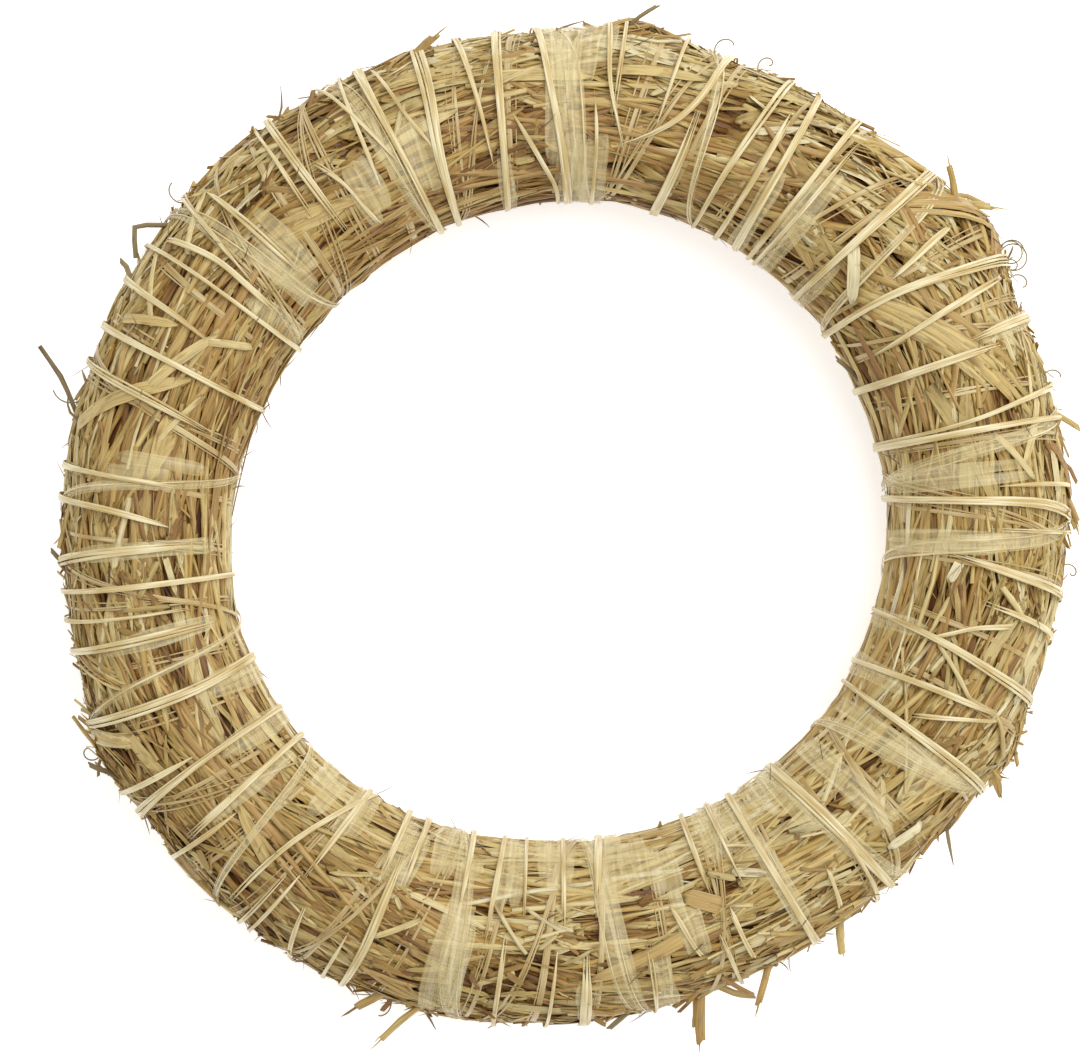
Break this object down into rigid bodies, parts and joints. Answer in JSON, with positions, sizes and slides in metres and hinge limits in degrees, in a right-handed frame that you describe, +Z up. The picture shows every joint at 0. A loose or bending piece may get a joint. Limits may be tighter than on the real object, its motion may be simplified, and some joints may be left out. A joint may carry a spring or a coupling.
{
  "type": "straw wreath base",
  "caption": "Flat-lying wreath ring of bundled straw, bound by a spiral thread and a wide translucent film, with loose stalk ends sticking out.",
  "frame": {"origin": "middle of the ring, on the surface that it lies on", "axes": "+Z up, through the ring's hole; +X to the right and +Y away from a viewer who looks down on it"},
  "size_m": [0.3137, 0.3118, 0.0507],
  "materials": {
    "straw": "dry threshed straw, fibrous, satin on the stalks and dull between them",
    "loose_straw": "dry straw stalk, satin",
    "thread": "twisted cream plastic film thread, slightly glossy",
    "film": "thin cream plastic film, wrinkled, translucent and glossy"
  },
  "bodies": {
    "root": {"straw_bundle": "straw", "binding_thread": "thread", "second_thread": "thread", "binding_film": "film", "long_stalk_left": "loose_straw", "bent_stalk_left": "loose_straw", "hooked_stalk_left": "loose_straw", "stalk_upper_left": "loose_straw", "stalk_end_upper_left": "loose_straw", "hair_upper_left": "loose_straw", "hair_top": "loose_straw", "stalk_top": "loose_straw", "stalk_end_upper_right": "loose_straw", "stalk_right_corner": "loose_straw", "hair_right_corner": "loose_straw", "stalk_right": "loose_straw", "stalk_end_right": "loose_straw", "stalk_right_low": "loose_straw", "spike_lower_right": "loose_straw", "hanging_stalk_lower_right": "loose_straw", "stub_lower_right": "loose_straw", "split_stalk_bottom": "loose_straw", "forked_stalk_bottom": "loose_straw", "stub_bottom": "loose_straw", "stalk_bottom_left": "loose_straw", "hair_bottom_left": "loose_straw", "stalk_left_low": "loose_straw", "stub_left": "loose_straw", "stalk_inner_left": "loose_straw", "stalk_inner_right": "loose_straw"}
  },
  "joints": []
}
